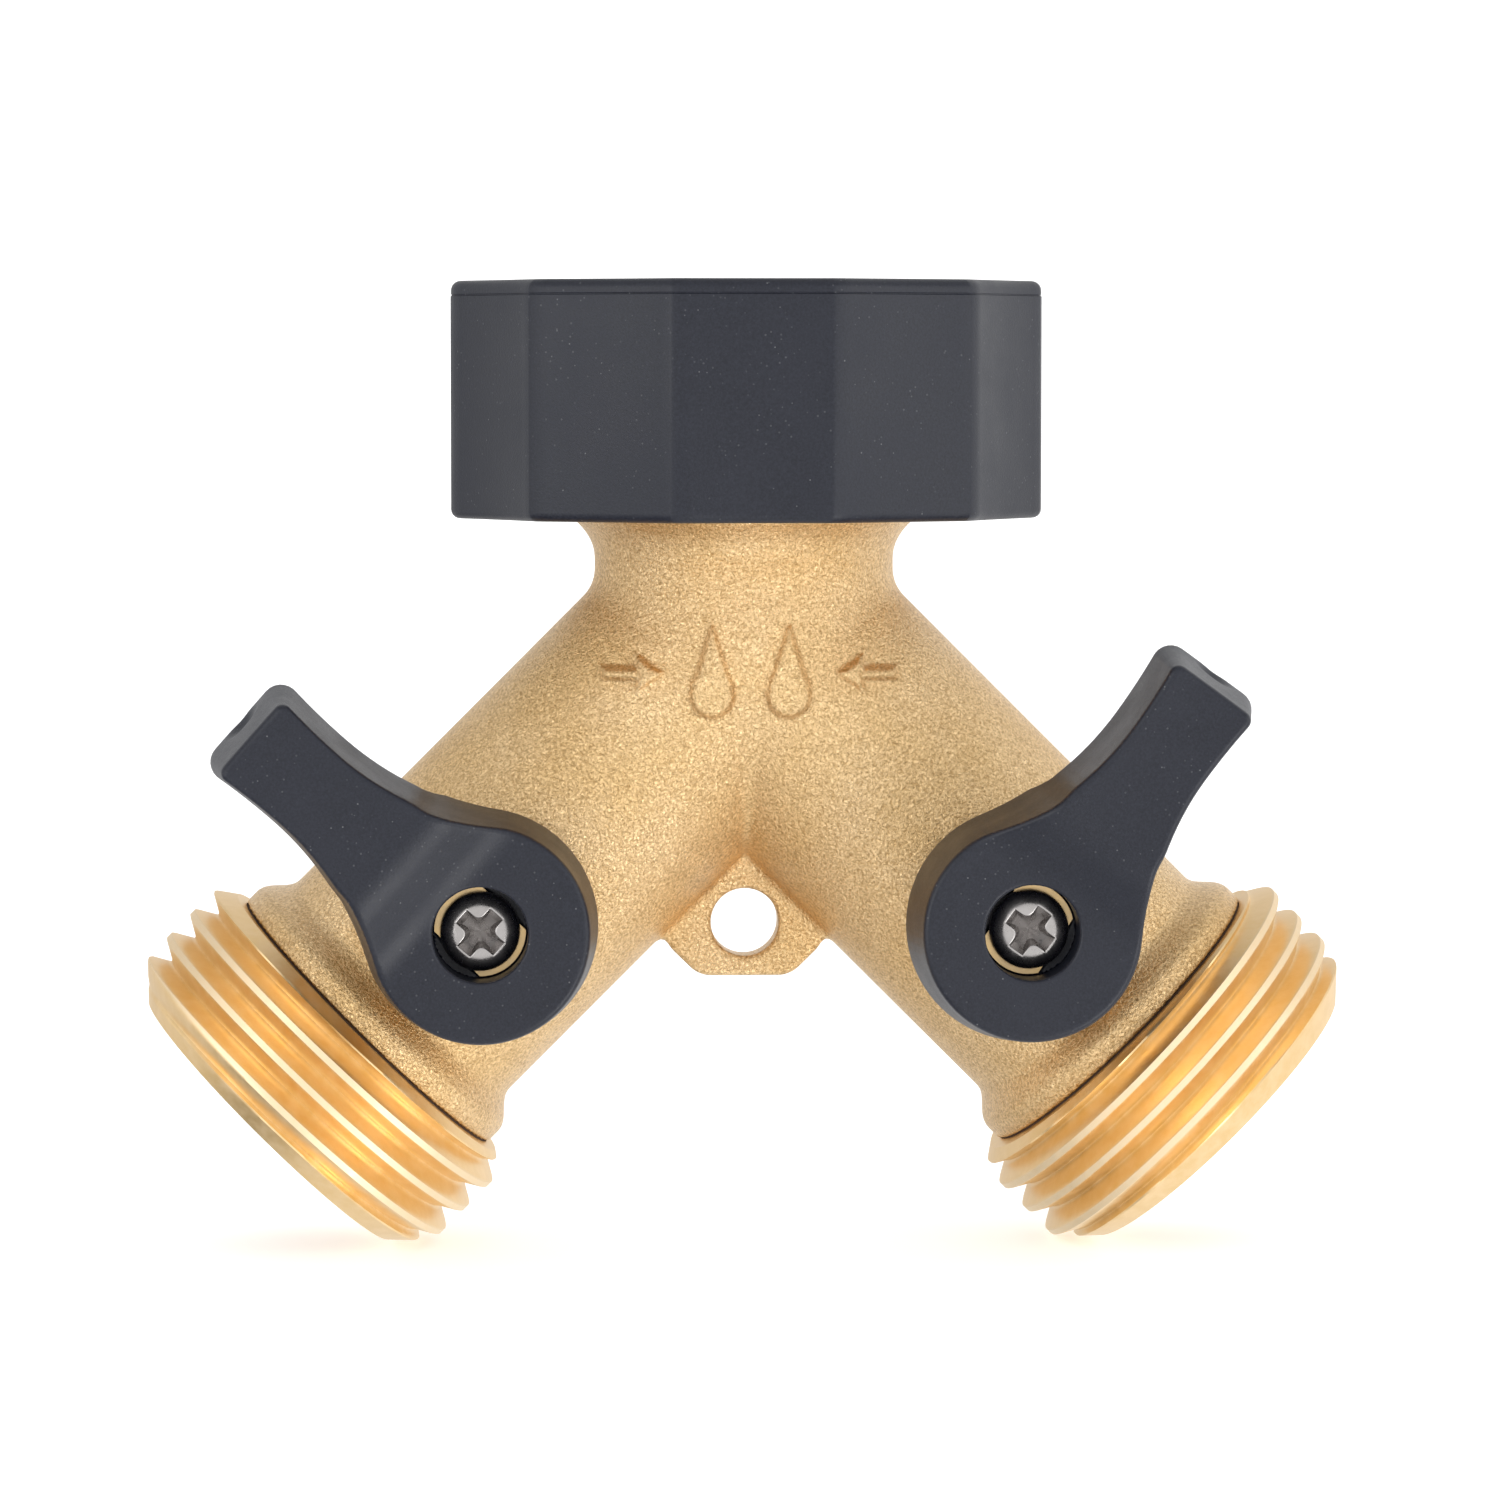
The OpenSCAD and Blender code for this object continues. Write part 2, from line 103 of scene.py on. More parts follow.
NECK_PASSAGE_R, LEG_PASSAGE_R = 8.0, 5.5
BALL_CHAMBER_R, BALL_CHAMBER_S = 7.9, 18.37
SOCKET_R, SOCKET_S = 8.73, 31.6
STEM_BORE_R, FLANGE_BORE_R, FLANGE_BORE_H = 3.0, 4.0, 9.03

PITCH, CREST_R, ROOT_R, CREST_HALF = 2.209, 13.45, 12.11, 0.21
NIPPLE_S, NIPPLE_END_S, NIPPLE_LIP_R = 35.9, 44.893, 11.24
NIPPLE_BORE_R, SHANK_R, SHANK_S = 8.6, 8.7, 31.63
DRIVE_FLATS, DRIVE_S = 11.0, 37.9
FIRST_CREST = {"left": 4.15, "right": 3.6}

NUT_FLATS, NUT_CORNER_R, NUT_CORNER_ANGLE = 30.0, 16.9, 15.0
NUT_CREST_R, NUT_ROOT_R, WASHER_RELIEF_R, NUT_LIP_R = 12.28, 13.62, 12.73, 10.58
NUT_THREAD_Z, WASHER_FLOOR_Z = 16.15, 10.85
GRIP_SIDES, GRIP_CORNER_R, GRIP_HOLLOW, GRIP_ROUND = 12, 20.2, 0.25, 0.45
GRIP_EDGE_ROUND, GRIP_MOUTH_R = 0.6, 14.4

HUB_R, WAIST_U, WAIST_HALF, TIP_HALF, LEVER_LENGTH = 7.7, 14.6, 3.55, 3.78, 20.5
TIP_ROUND, DRAFT = 1.3, 0.095
SKIRT_H, ARM_BOTTOM_H, HUB_TOP_H, ARM_TOP_H = 12.4, 14.5, 19.6, 22.0
RAMP_U, RAMP_LENGTH = 3.2, 3.7
DISH_R, DISH_DEPTH, ARM_HOLLOW_HALF, ARM_HOLLOW_DEPTH = 6.6, 0.12, 3.4, 0.14
CUP_R, CUP_H, SLOT_R, SLOT_HALF_ANGLE, SLOT_LEAD = 5.3, 13.6, 6.4, 58.0, 13.0
STEM_TOP_H, WELL_R, KEY_R, KEY_HALF = 16.0, 3.05, 2.98, 2.13
CLOSED_ANGLE, OUTLET_ANGLE = 138.6, 225.0

SCREW_HEAD_R, SCREW_SHANK_R, SCREW_TOP_H, SCREW_END_H = 2.6, 1.25, 17.6, 11.0
CROWN_R, CROWN_H = 1.33, 16.35

# ---- Signed distances ----


def soft_min(a, b, k):
    h = np.maximum(k - np.abs(a - b), 0) / k
    return np.minimum(a, b) - h * h * k / 4


def soft_max(a, b, k):
    return -soft_min(-a, -b, k)


def ease(lo, hi, x):
    t = np.clip((x - lo) / (hi - lo), 0, 1)
    return t * t * t * (t * (6 * t - 15) + 10)


def convex(corners, x, y, k=0.0):
    """Distance outside a convex outline whose corners run anticlockwise."""
    d = None
    for (ax, ay), (bx, by) in zip(corners, corners[1:] + corners[:1]):
        length = math.hypot(bx - ax, by - ay)
        side = ((by - ay) * (x - ax) - (bx - ax) * (y - ay)) / length
        d = side if d is None else (soft_max(d, side, k) if k else np.maximum(d, side))
    return d


def polygon_distance(corners, x, y):
    """Signed distance to any closed outline."""
    best = np.full(x.shape, 1e9, np.float32)
    inside = np.zeros(x.shape, bool)
    for (ax, ay), (bx, by) in zip(corners, np.roll(corners, -1, axis=0)):
        ex, ey = bx - ax, by - ay
        t = np.clip(((x - ax) * ex + (y - ay) * ey) / (ex * ex + ey * ey), 0, 1)
        best = np.minimum(best, (x - ax - t * ex) ** 2 + (y - ay - t * ey) ** 2)
        if by != ay:
            crosses = (ay > y) != (by > y)
            inside ^= crosses & (x < ex * (y - ay) / (by - ay) + ax)
    d = np.sqrt(best)
    return np.where(inside, -d, d)


# ---- Turning a distance into a mesh ----

CORNERS = np.array([(i, j, k) for i in (0, 1) for j in (0, 1) for k in (0, 1)])
EDGES = [
    (a, b) for a in range(8) for b in range(a) if np.abs(CORNERS[a] - CORNERS[b]).sum() == 1]
SLAB = 24  # grid planes worked out at once
LEAST_SLOPE = 0.35  # keeps a point's move short where the squared slope is smaller


def skin(distance, low, high, step):
    """Points, four-sided faces and normals of the surface where distance is zero.

    Each grid cell that the surface crosses gets one point, which is then moved onto it."""
    low = np.array(low, float)
    n = np.ceil((np.array(high) - low) / step).astype(int) + 1
    axes = [low[i] + step * np.arange(n[i]) for i in range(3)]
    field = np.empty(n, np.float32)
    for start in range(0, n[0], SLAB):
        x, y, z = np.meshgrid(axes[0][start:start + SLAB], axes[1], axes[2], indexing="ij")
        field[start:start + SLAB] = distance(x, y, z)
    inside = field < 0
    corner = [inside[i:n[0] - 1 + i, j:n[1] - 1 + j, k:n[2] - 1 + k] for i, j, k in CORNERS]
    count = sum(c.astype(np.int8) for c in corner)
    cells = np.argwhere((count > 0) & (count < 8))
    number = np.full(n - 1, -1, np.int64)
    number[tuple(cells.T)] = np.arange(len(cells))
    value = np.stack([field[tuple((cells + c).T)] for c in CORNERS], 1).astype(float)
    total = np.zeros((len(cells), 3))
    weight = np.zeros(len(cells))
    for a, b in EDGES:
        cut = (value[:, a] < 0) != (value[:, b] < 0)
        t = value[cut, a] / (value[cut, a] - value[cut, b])
        total[cut] += CORNERS[a] + t[:, None] * (CORNERS[b] - CORNERS[a])
        weight[cut] += 1
    points = low + step * (cells + total / weight[:, None])
    faces = []
    for axis in range(3):
        u, v = (axis + 1) % 3, (axis + 2) % 3
        first = np.take(inside, range(n[axis] - 1), axis)
        second = np.take(inside, range(1, n[axis]), axis)
        at = np.argwhere(first != second)
        at = at[(at[:, [u, v]] > 0).all(1) & (at[:, [u, v]] < (n[u] - 1, n[v] - 1)).all(1)]
        ring = []
        for du, dv in ((1, 1), (0, 1), (0, 0), (1, 0)):
            c = at.copy()
            c[:, u] -= du
            c[:, v] -= dv
            ring.append(number[tuple(c.T)])
        quad = np.stack(ring, 1)
        flip = ~first[tuple(at.T)]
        quad[flip] = quad[flip][:, ::-1]
        faces.append(quad)
    faces = np.concatenate(faces)
    for _ in range(4):
        d, slope = gradient(distance, points, step * 0.2)
        size = np.maximum((slope ** 2).sum(1), LEAST_SLOPE)
        move = slope * (d / size)[:, None]
        reach = np.linalg.norm(move, axis=1)
        points -= move * np.minimum(1, 0.5 * step / np.maximum(reach, 1e-9))[:, None]
    slope = gradient(distance, points, step * 0.3)[1]
    return points, faces, slope / np.maximum(np.linalg.norm(slope, axis=1), 1e-9)[:, None]


def gradient(distance, points, h):
    """The distance at each point, and its slope along x, y and z."""
    x, y, z = points.T
    dx = distance(x + h, y, z) - distance(x - h, y, z)
    dy = distance(x, y + h, z) - distance(x, y - h, z)
    dz = distance(x, y, z + h) - distance(x, y, z - h)
    return distance(x, y, z), np.stack([dx, dy, dz], 1) / (2 * h)


def make(name, points, faces, material, body, replaced, normals=None, flip=False):
    """A piece from points in millimetres from the junction."""
    mesh = bpy.data.meshes.new(name)
    loops = [[int(i) for i in (face[::-1] if flip else face)] for face in faces]
    mesh.from_pydata(((points + JUNCTION) * MM).tolist(), [], loops)
    mesh.validate()
    mesh.polygons.foreach_set("use_smooth", [True] * len(mesh.polygons))
    if normals is not None:
        mesh.normals_split_custom_set_from_vertices(normals.tolist())
    else:
        mesh.set_sharp_from_angle(angle=math.radians(32))
    mesh.update()
    piece = bpy.data.objects.new(name, mesh)
    bpy.context.scene.collection.objects.link(piece)
    mesh.materials.append(material)
    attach(piece, body)
    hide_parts(replaced)
    return piece


# ---- Finishes ----


class Nodes:
    """Builds the nodes of a material or a world."""

    def __init__(self, tree, coordinates):
        self.tree = tree
        self.place = self.node("ShaderNodeTexCoord").outputs[coordinates]

    def node(self, kind, inputs=None, **settings):
        made = self.tree.nodes.new(kind)
        for key, value in settings.items():
            setattr(made, key, value)
        for key, value in (inputs or {}).items():
            self.feed(made.inputs[key], value)
        return made

    def feed(self, socket, value):
        if isinstance(value, bpy.types.NodeSocket):
            self.tree.links.new(value, socket)
        else:
            socket.default_value = value

    def noise(self, size, detail=2.0, rough=0.5, distortion=0.0):
        """Noise whose blotches are about size millimetres across."""
        return self.node("ShaderNodeTexNoise", {
            "Vector": self.place, "Scale": 1 / (size * MM), "Detail": detail,
            "Roughness": rough, "Distortion": distortion}).outputs["Fac"]

    def spots(self, size, cover):
        """Small round specks about size millimetres apart."""
        cells = self.node("ShaderNodeTexVoronoi", {"Vector": self.place, "Scale": 1 / (size * MM)})
        return self.span(cells.outputs["Distance"], cover, cover * 0.55, 0.0, 1.0)

    def span(self, value, lo, hi, out_lo, out_hi):
        """value carried from the range lo to hi onto out_lo to out_hi, and held at the ends."""
        return self.node("ShaderNodeMapRange", {
            "Value": value, "From Min": lo, "From Max": hi,
            "To Min": out_lo, "To Max": out_hi}).outputs["Result"]

    def mix(self, factor, a, b, kind="MIX"):
        made = self.node("ShaderNodeMix", data_type="RGBA", blend_type=kind)
        self.feed(made.inputs[0], factor)
        self.feed(made.inputs[6], a)
        self.feed(made.inputs[7], b)
        return made.outputs[2]

    def add(self, a, b, kind="ADD"):
        return self.node("ShaderNodeMath", {0: a, 1: b}, operation=kind).outputs[0]

    def bump(self, height, depth, strength=1.0, normal=None):
        inputs = {"Height": height, "Distance": depth * MM, "Strength": strength}
        if normal is not None:
            inputs["Normal"] = normal
        return self.node("ShaderNodeBump", inputs).outputs["Normal"]


class Finish(Nodes):
    """A principled material whose inputs are fed by noise in object space."""

    def __init__(self, name):
        self.material = bpy.data.materials.new(name)
        self.material.use_nodes = True
        super().__init__(self.material.node_tree, "Object")

    def set(self, **inputs):
        for key, value in inputs.items():
            self.feed(self.tree.nodes["Principled BSDF"].inputs[key.replace("_", " ")], value)


def cast_brass():
    f = Finish("cast_brass")
    grain = f.noise(0.19, 3.0, 0.70, distortion=0.6)
    dents = f.noise(0.60, 2.0, 0.5)
    cloud = f.noise(9.0, 3.0, 0.55)
    tone = f.mix(f.span(cloud, 0.35, 0.68, 0, 1), (0.86, 0.615, 0.32, 1), (0.93, 0.695, 0.41, 1))
    speck = f.mix(f.span(grain, 0.36, 0.66, 0, 1), (0.58, 0.51, 0.41, 1), (1.14, 1.13, 1.11, 1))
    f.set(Base_Color=f.mix(1.0, tone, speck, "MULTIPLY"), Metallic=1.0,
          Roughness=f.span(f.add(grain, cloud), 0.7, 1.3, 0.36, 0.26),
          Normal=f.bump(grain, 0.13, 1.0, f.bump(dents, 0.06, 0.8)))
    return f.material


def turned_brass():
    f = Finish("turned_brass")
    smear = f.noise(1.1, 3.0, 0.65)
    pits = f.noise(0.22, 2.0, 0.6)
    crest = f.node("ShaderNodeAttribute", attribute_name="crest").outputs["Fac"]
    crest_highlight_breakup = f.span(f.noise(0.5, 3.0, 0.6), 0.3, 0.7, 0.7, 1.0)
    tone = f.mix(f.span(smear, 0.35, 0.7, 0, 1), (0.85, 0.60, 0.29, 1), (0.91, 0.68, 0.39, 1))
    # Painted highlight: the thread crests are painted paler and whiter where they catch the light,
    # broken into patches by the noise above
    tone = f.mix(f.add(crest, crest_highlight_breakup, "MULTIPLY"), tone, (0.88, 0.71, 0.48, 1))
    rough = f.add(f.span(smear, 0.3, 0.7, 0.33, 0.44), f.add(crest, 0.10, "MULTIPLY"))
    f.set(Base_Color=tone, Metallic=1.0, Roughness=rough, Normal=f.bump(pits, 0.008, 0.8))
    return f.material


def black_plastic():
    f = Finish("black_plastic")
    cloud = f.noise(5.0, 3.0, 0.6)
    fine = f.noise(0.16, 3.0, 0.7)
    dust = f.add(f.spots(0.80, 0.08), f.span(f.noise(3.1), 0.46, 0.56, 0, 1), "MULTIPLY")
    lint = f.add(f.spots(0.55, 0.15), f.span(f.noise(4.3), 0.42, 0.56, 0, 1), "MULTIPLY")
    marks = f.add(f.add(dust, 0.22, "MULTIPLY"), f.add(lint, 0.09, "MULTIPLY"))
    tone = f.mix(cloud, (0.0025, 0.0034, 0.0080, 1), (0.0085, 0.0102, 0.0190, 1))
    tone = f.mix(f.span(fine, 0.35, 0.70, 0.0, 0.75), tone, (0.0155, 0.0178, 0.0290, 1))
    f.set(Base_Color=f.mix(marks, tone, (0.42, 0.43, 0.44, 1)),
          Roughness=f.span(f.add(cloud, fine), 0.7, 1.3, 0.30, 0.46),
          Specular_IOR_Level=0.39, Normal=f.bump(fine, 0.020, 0.8))
    return f.material


def bare_metal(name, low, high, rough, grain):
    f = Finish(name)
    wear = f.noise(0.9, 3.0, 0.6)
    f.set(Base_Color=f.mix(wear, low, high), Metallic=1.0,
          Roughness=f.span(wear, 0.3, 0.7, rough, rough + 0.14),
          Normal=f.bump(f.noise(0.12, 2.0), grain, 0.8))
    return f.material


def soft_solid(name, low, high, rough, size, depth):
    f = Finish(name)
    grain = f.noise(size, 3.0, 0.6)
    f.set(Base_Color=f.mix(f.noise(2.5, 3.0, 0.6), low, high),
          Roughness=f.span(grain, 0.3, 0.7, rough - 0.08, rough + 0.08),
          Normal=f.bump(grain, depth, 0.8))
    return f.material


FINISH = {
    "cast_brass": cast_brass(),
    "machined_brass": turned_brass(),
    "black_plastic": black_plastic(),
    "nickel_screw": bare_metal(
        "nickel", (0.33, 0.31, 0.30, 1), (0.52, 0.50, 0.49, 1), 0.20, 0.006),
    "spring_steel": bare_metal(
        "spring_steel", (0.40, 0.40, 0.42, 1), (0.55, 0.55, 0.57, 1), 0.28, 0.004),
    "chrome_ball": bare_metal(
        "chrome", (0.62, 0.63, 0.65, 1), (0.72, 0.73, 0.75, 1), 0.06, 0.001),
    "white_ptfe": soft_solid(
        "ptfe", (0.80, 0.80, 0.77, 1), (0.88, 0.88, 0.86, 1), 0.5, 0.3, 0.01),
    "black_rubber": soft_solid(
        "rubber", (0.010, 0.010, 0.011, 1), (0.022, 0.022, 0.023, 1), 0.62, 0.2, 0.02),
    "dark_fibre": soft_solid(
        "fibre", (0.030, 0.014, 0.008, 1), (0.085, 0.043, 0.022, 1), 0.8, 0.12, 0.03),
}

CARRIED = {"inlet_washer": "black_rubber", "snap_ring": "spring_steel"}
for side in ("left_", "right_"):
    CARRIED.update({
        side + "gasket": "dark_fibre", side + "inner_seat": "white_ptfe",
        side + "outer_seat": "white_ptfe", side + "ball": "chrome_ball",
        side + "stem": "machined_brass", side + "thrust_washer": "white_ptfe",
        side + "o_rings": "black_rubber"})

for carried, finish in CARRIED.items():
    data = frame["nodes"][carried].data
    data.materials.clear()
    data.materials.append(FINISH[finish])
    data.polygons.foreach_set("use_smooth", [True] * len(data.polygons))
    data.set_sharp_from_angle(angle=math.radians(30))

# ---- The cast body ----

DROP_TOP = [(-1.42, 0.0), (1.42, 0.0), (0.16, 3.95), (-0.16, 3.95)]
DROP_AT, DROP_R = (2.5, -2.9), 1.55
ARROW_SHAFT = [(-2.1, -0.5), (0.5, -0.5), (0.5, 0.5), (-2.1, 0.5)]
ARROW_HEAD = [(0.2, -1.35), (2.2, 0.0), (0.2, 1.35)]
ARROW_AT = (7.7, -1.5)
MARK_HEIGHT = 0.48
TAB = [
    (-3.05, -22.1), (3.05, -22.1), (5.3, -19.9), (5.3, -17.9),
    (0.0, -12.4), (-5.3, -17.9), (-5.3, -19.9)]


def leg_skin(side_x, y, z):
    """Outside of one leg, and each point's place along it and distance from its axis.

    side_x grows away from the fork."""
    s = (side_x - z) * math.sqrt(0.5)
    across = (side_x + z) * math.sqrt(0.5)
    r = np.sqrt(across ** 2 + y ** 2 + np.minimum(s, 0) ** 2)
    radius = LEG_R + (SHOULDER_R - LEG_R) * ease(LEG_FLARE_START_S, LEG_FLARE_END_S, s)
    return soft_max(r - radius, s - SEAM_S, 0.22), s, np.sqrt(across ** 2 + y ** 2)


def neck_skin(r, z):
    """The neck, flared under the grip and drawn in below the junction, with its spigot."""
    flare = np.clip((z - FLARE_Z) / FLARE_LENGTH, 0, 1) ** 2.2
    waist = NECK_R + (SHOULDER_R - NECK_R) * flare - 0.06 * np.minimum(z, 0) ** 2
    neck = soft_max(r - waist, z - SHOULDER_Z, 0.2)
    spigot = np.maximum(r - SPIGOT_R, np.abs(z - SPIGOT_Z) - SPIGOT_HALF)
    groove = np.maximum(RING_GROOVE_R - r, np.abs(z - RING_GROOVE_Z) - RING_GROOVE_HALF)
    return np.maximum(np.minimum(neck, spigot), -groove)


def raised_marks(fold, y, z):
    """Distance outside a drop and an arrow on each side of the fork, on the front alone."""
    drop_x, drop_z = fold - DROP_AT[0], z - DROP_AT[1]
    drop = soft_min(np.hypot(drop_x, drop_z) - DROP_R, convex(DROP_TOP, drop_x, drop_z - 0.6), 0.4)
    arrow_x, arrow_z = ARROW_AT[0] - fold, z - ARROW_AT[1]
    arrow = soft_min(
        convex(ARROW_SHAFT, arrow_x, arrow_z), convex(ARROW_HEAD, arrow_x, arrow_z), 0.2)
    return np.where(y < 0, np.minimum(drop, arrow), 9.0)


def valve_boss(turn_r, vx, y, vz):
    """The boss round a stem, and the lug that stops the lever at each end of its travel."""
    boss = soft_max(turn_r - BOSS_R, -y - BOSS_H, 0.2)
    along = (vx - vz) * math.sqrt(0.5)
    across = np.abs(vx + vz) * math.sqrt(0.5)
    taper = math.radians(LUG_TAPER)
    lug_side = across * math.cos(taper) - along * math.sin(taper)
    lug = np.maximum(np.maximum(turn_r - LUG_R, lug_side), np.maximum(-y - LUG_H, -along))
    return np.maximum(np.minimum(boss, lug), y)


def passages(s, leg_r, neck_r, turn_r, y, z):
    """Waterways, the chamber of each ball, the sockets of the nipples and the stems' bores."""
    parts = [
        np.maximum(leg_r - LEG_PASSAGE_R, -s),
        np.maximum(leg_r - BALL_CHAMBER_R, BALL_CHAMBER_S - s),
        np.maximum(leg_r - SOCKET_R, SOCKET_S - s),
        np.maximum(neck_r - NECK_PASSAGE_R, -z),
        np.maximum(turn_r - STEM_BORE_R, y),
        np.maximum(np.maximum(turn_r - FLANGE_BORE_R, y), -y - FLANGE_BORE_H)]
    return np.minimum.reduce(parts)


def body_distance(x, y, z):
    fold = np.abs(x)
    near, s, leg_r = leg_skin(fold, y, z)
    far = leg_skin(-fold, y, z)[0]
    neck_r = np.hypot(x, y)
    body = soft_min(near, far, 0.55)
    body = soft_min(body, np.maximum(neck_skin(neck_r, z), NECK_FOOT_Z - z), 0.8)
    tab = soft_max(convex(TAB, x, z, 0.6), np.abs(y) - TAB_HALF, 0.45)
    body = soft_min(body, tab, 0.9)
    body = body - MARK_HEIGHT * ease(-0.2, 0.5, -raised_marks(fold, y, z))
    vx, vz = fold + PIVOT[0], z - (PIVOT[2] - JUNCTION[2])
    turn_r = np.hypot(vx, vz)
    body = soft_min(body, valve_boss(turn_r, vx, y, vz), 0.8)
    body = np.maximum(body, -passages(s, leg_r, neck_r, turn_r, y, z))
    return soft_max(body, HANG_HOLE_R - np.hypot(x, z - HANG_HOLE_Z), 0.35)


reach = SEAM_S * math.sqrt(0.5) + SHOULDER_R * math.sqrt(0.5) + 0.6
points, faces, normals = skin(
    body_distance, (-reach, -BOSS_H - 0.6, -reach), (reach, SHOULDER_R + 0.6, 13.6),
    0.24)
make("body_casting", points, faces, FINISH["cast_brass"], "splitter_body",
     "valve_body", normals)

# ---- Screw threads ----


def thread_r(s, centre, crest_r, root_r):
    """Radius of a 60 degree thread with flat crests, one of them at centre."""
    u = np.abs((s - centre + PITCH / 2) % PITCH - PITCH / 2)
    fall = np.maximum(u - CREST_HALF, 0) * math.tan(math.radians(60))
    fall = np.sqrt(fall ** 2 + 0.05 ** 2) - 0.05
    return crest_r - soft_min(fall, np.full_like(fall, crest_r - root_r), 0.16)


def threaded_tube(start, end, radius, crest_at, inner_rings, columns):
    """A closed solid whose threaded wall follows a helical grid, and whose other walls are rings.

    radius(s, turn) gives the threaded wall, crest_at is where a crest is at turn 0, and each
    inner ring is (s, radius at each angle). Comes back as s, radius, angle and faces."""
    marks = np.concatenate([
        np.linspace(-PITCH / 2, -CREST_HALF, 9)[:-1],
        np.linspace(-CREST_HALF, CREST_HALF, 5)[:-1],
        np.linspace(CREST_HALF, PITCH / 2, 9)[:-1]])
    per_turn = len(marks)
    turns = range(int((start - crest_at) // PITCH) - 2, int((end - crest_at) // PITCH) + 3)
    rows = np.concatenate([crest_at + PITCH * t + marks for t in turns])
    turn = np.arange(columns) / columns
    s = rows[:, None] + PITCH * turn[None, :]
    index = np.full(s.shape, -1, np.int64)
    low, high = s <= start, s >= end
    index[low] = np.broadcast_to(np.arange(columns), s.shape)[low]
    index[high] = np.broadcast_to(np.arange(columns) + columns, s.shape)[high]
    free = ~(low | high)
    index[free] = 2 * columns + np.arange(free.sum())
    turns_of = np.broadcast_to(turn, s.shape)
    all_s = np.concatenate([np.full(columns, start), np.full(columns, end), s[free]])
    all_turn = np.concatenate([turn, turn, turns_of[free]])
    all_r = radius(all_s, all_turn)
    following = np.concatenate([index[:, 1:], np.roll(index[:, :1], -per_turn, axis=0)], axis=1)
    usable = len(rows) - per_turn
    a, b = index[:usable], following[:usable]
    quads = np.stack([a[:-1], b[:-1], b[1:], a[1:]], -1).reshape(-1, 4)
    faces = []
    for quad in quads:
        corners = list(dict.fromkeys(quad.tolist()))
        if len(corners) > 2:
            faces.append(corners)
    rings = [np.arange(columns) + columns]
    for ring_s, ring_r in inner_rings:
        rings.append(len(all_s) + np.arange(columns))
        all_s = np.concatenate([all_s, np.full(columns, ring_s)])
        all_turn = np.concatenate([all_turn, turn])
        all_r = np.concatenate([all_r, np.broadcast_to(ring_r, columns)])
    rings.append(np.arange(columns))
    for upper, lower in zip(rings[:-1], rings[1:]):
        quad = np.stack([upper, np.roll(upper, -1), np.roll(lower, -1), lower], 1)
        faces += quad.tolist()
    return all_s, all_r, all_turn * 2 * math.pi, faces


def hexagon_r(flats, angle, corner):
    """Radius of a hexagon at an angle, with one of its corners at the given angle."""
    return flats / 2 / np.cos((angle - corner) % (math.pi / 3) - math.pi / 6)


def paint_crests(piece, r):
    """Marks the crests for the finish to read, which paints them paler as a painted highlight where
    the crests catch the light.
    """
    share = np.clip((r - CREST_R + 0.09) / 0.08, 0, 1)
    layer = piece.data.attributes.new("crest", "FLOAT", "POINT")
    layer.data.foreach_set("value", share.astype(np.float32))


COLUMNS = 360
around = 2 * math.pi * np.arange(COLUMNS) / COLUMNS


def outlet_nipple(side):
    axis = LEG * (1 if side == "left" else -1, 1, 1)
    across = np.cross((0, -1, 0), axis)
    crest_at = SEAM_S + FIRST_CREST[side] - 2 * PITCH

    def radius(s, turn):
        r = thread_r(s - PITCH * turn, crest_at, CREST_R, ROOT_R)
        r = soft_min(r, 11.95 + 1.4 * (s - SEAM_S), 0.2)
        return soft_min(r, 11.30 + 1.04 * (NIPPLE_END_S - s), 0.25)

    drive = hexagon_r(DRIVE_FLATS, around, 0.0)
    start = NIPPLE_S - 0.22
    rings = [
        (NIPPLE_END_S, 11.0), (NIPPLE_END_S, NIPPLE_BORE_R + 0.25),
        (NIPPLE_END_S - 0.25, NIPPLE_BORE_R), (DRIVE_S, NIPPLE_BORE_R),
        (DRIVE_S, drive), (SHANK_S, drive), (SHANK_S, SHANK_R - 0.1), (SHANK_S + 0.1, SHANK_R),
        (NIPPLE_S, SHANK_R), (NIPPLE_S, NIPPLE_LIP_R), (start, NIPPLE_LIP_R + 0.03)]
    s, r, angle, faces = threaded_tube(start, NIPPLE_END_S, radius, crest_at, rings, COLUMNS)
    points = s[:, None] * axis + (r * np.cos(angle))[:, None] * across
    points[:, 1] -= r * np.sin(angle)
    piece = make(side + "_hose_thread", points, faces, FINISH["machined_brass"],
                 "splitter_body", side + "_nipple")
    paint_crests(piece, r)


for side in ("left", "right"):
    outlet_nipple(side)


def swivel_nut():
    outer = hexagon_r(NUT_FLATS, around, math.radians(NUT_CORNER_ANGLE))
    bevel = np.minimum(outer, NUT_CORNER_R)
    crest_at = NUT_THREAD_Z + 1.4

    def radius(s, turn):
        groove = thread_r(s - PITCH * turn, crest_at, NUT_ROOT_R, NUT_CREST_R)
        return soft_max(groove, NUT_CREST_R + s - NUT_TOP + 1.35, 0.2)

    rings = [
        (NUT_TOP, bevel), (NUT_TOP - 0.4, outer), (NUT_BOTTOM + 0.3, outer), (NUT_BOTTOM, bevel),
        (NUT_BOTTOM, NUT_LIP_R + 0.22), (NUT_BOTTOM + 0.2, NUT_LIP_R),
        (WASHER_FLOOR_Z, NUT_LIP_R), (WASHER_FLOOR_Z, WASHER_RELIEF_R),
        (NUT_THREAD_Z, WASHER_RELIEF_R)]
    s, r, angle, faces = threaded_tube(
        NUT_THREAD_Z, NUT_TOP, radius, crest_at, rings, COLUMNS)
    points = np.stack([r * np.cos(angle), r * np.sin(angle), s], 1)
    make("inlet_nut", points, faces, FINISH["machined_brass"], "collar",
         "swivel_nut", flip=True)


swivel_nut()

# ---- The grip ----


